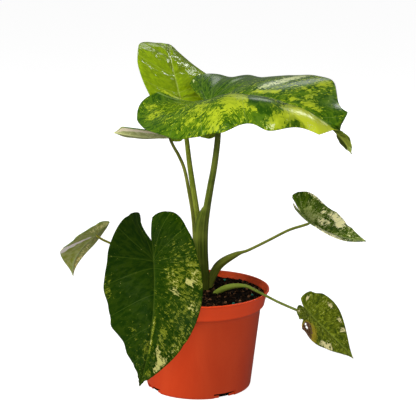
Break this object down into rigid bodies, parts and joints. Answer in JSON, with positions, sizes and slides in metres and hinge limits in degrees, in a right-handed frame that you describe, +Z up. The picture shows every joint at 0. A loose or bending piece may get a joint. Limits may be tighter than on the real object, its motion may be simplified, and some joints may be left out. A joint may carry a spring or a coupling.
{
  "type": "potted philodendron",
  "caption": "Variegated heart-leaved philodendron on long petioles, growing in soil in a tapered plastic nursery pot with a wide rim.",
  "frame": {"origin": "centre of the pot's foot, on the surface it stands on", "axes": "+Z up along the pot's axis; +X to the right and +Y away from the viewer in the front view, in which the large low leaf hangs before the pot"},
  "size_m": [0.3337, 0.3075, 0.3771],
  "materials": {
    "pot_plastic": "satin moulded plastic",
    "potting_soil": "rough, crumbly",
    "petiole_top": "smooth living stem, ribbed lengthwise",
    "petiole_back": "smooth living stem, ribbed lengthwise",
    "petiole_top_left": "smooth living stem, ribbed lengthwise",
    "petiole_front": "smooth living stem, ribbed lengthwise",
    "petiole_left": "smooth living stem, ribbed lengthwise",
    "petiole_right": "smooth living stem, ribbed lengthwise",
    "petiole_low_right": "smooth living stem, ribbed lengthwise",
    "leaf_top": "smooth living leaf with a soft gloss, variegated green and cream",
    "leaf_back": "smooth living leaf with a soft gloss, variegated green and cream",
    "leaf_top_left": "smooth living leaf with a soft gloss, variegated green and cream",
    "leaf_front": "smooth living leaf with a soft gloss, variegated green and cream",
    "leaf_left": "smooth living leaf with a soft gloss, variegated green and cream",
    "leaf_right": "smooth living leaf with a soft gloss, variegated green and cream",
    "leaf_low_right": "smooth living leaf with a soft gloss, variegated green and cream"
  },
  "bodies": {
    "root": {"pot": "pot_plastic", "soil": "potting_soil", "petiole_top": "petiole_top", "petiole_back": "petiole_back", "petiole_top_left": "petiole_top_left", "petiole_front": "petiole_front", "petiole_left": "petiole_left", "petiole_right": "petiole_right", "petiole_low_right": "petiole_low_right", "leaf_top": "leaf_top", "leaf_back": "leaf_back", "leaf_top_left": "leaf_top_left", "leaf_front": "leaf_front", "leaf_left": "leaf_left", "leaf_right": "leaf_right", "leaf_low_right": "leaf_low_right"}
  },
  "joints": []
}
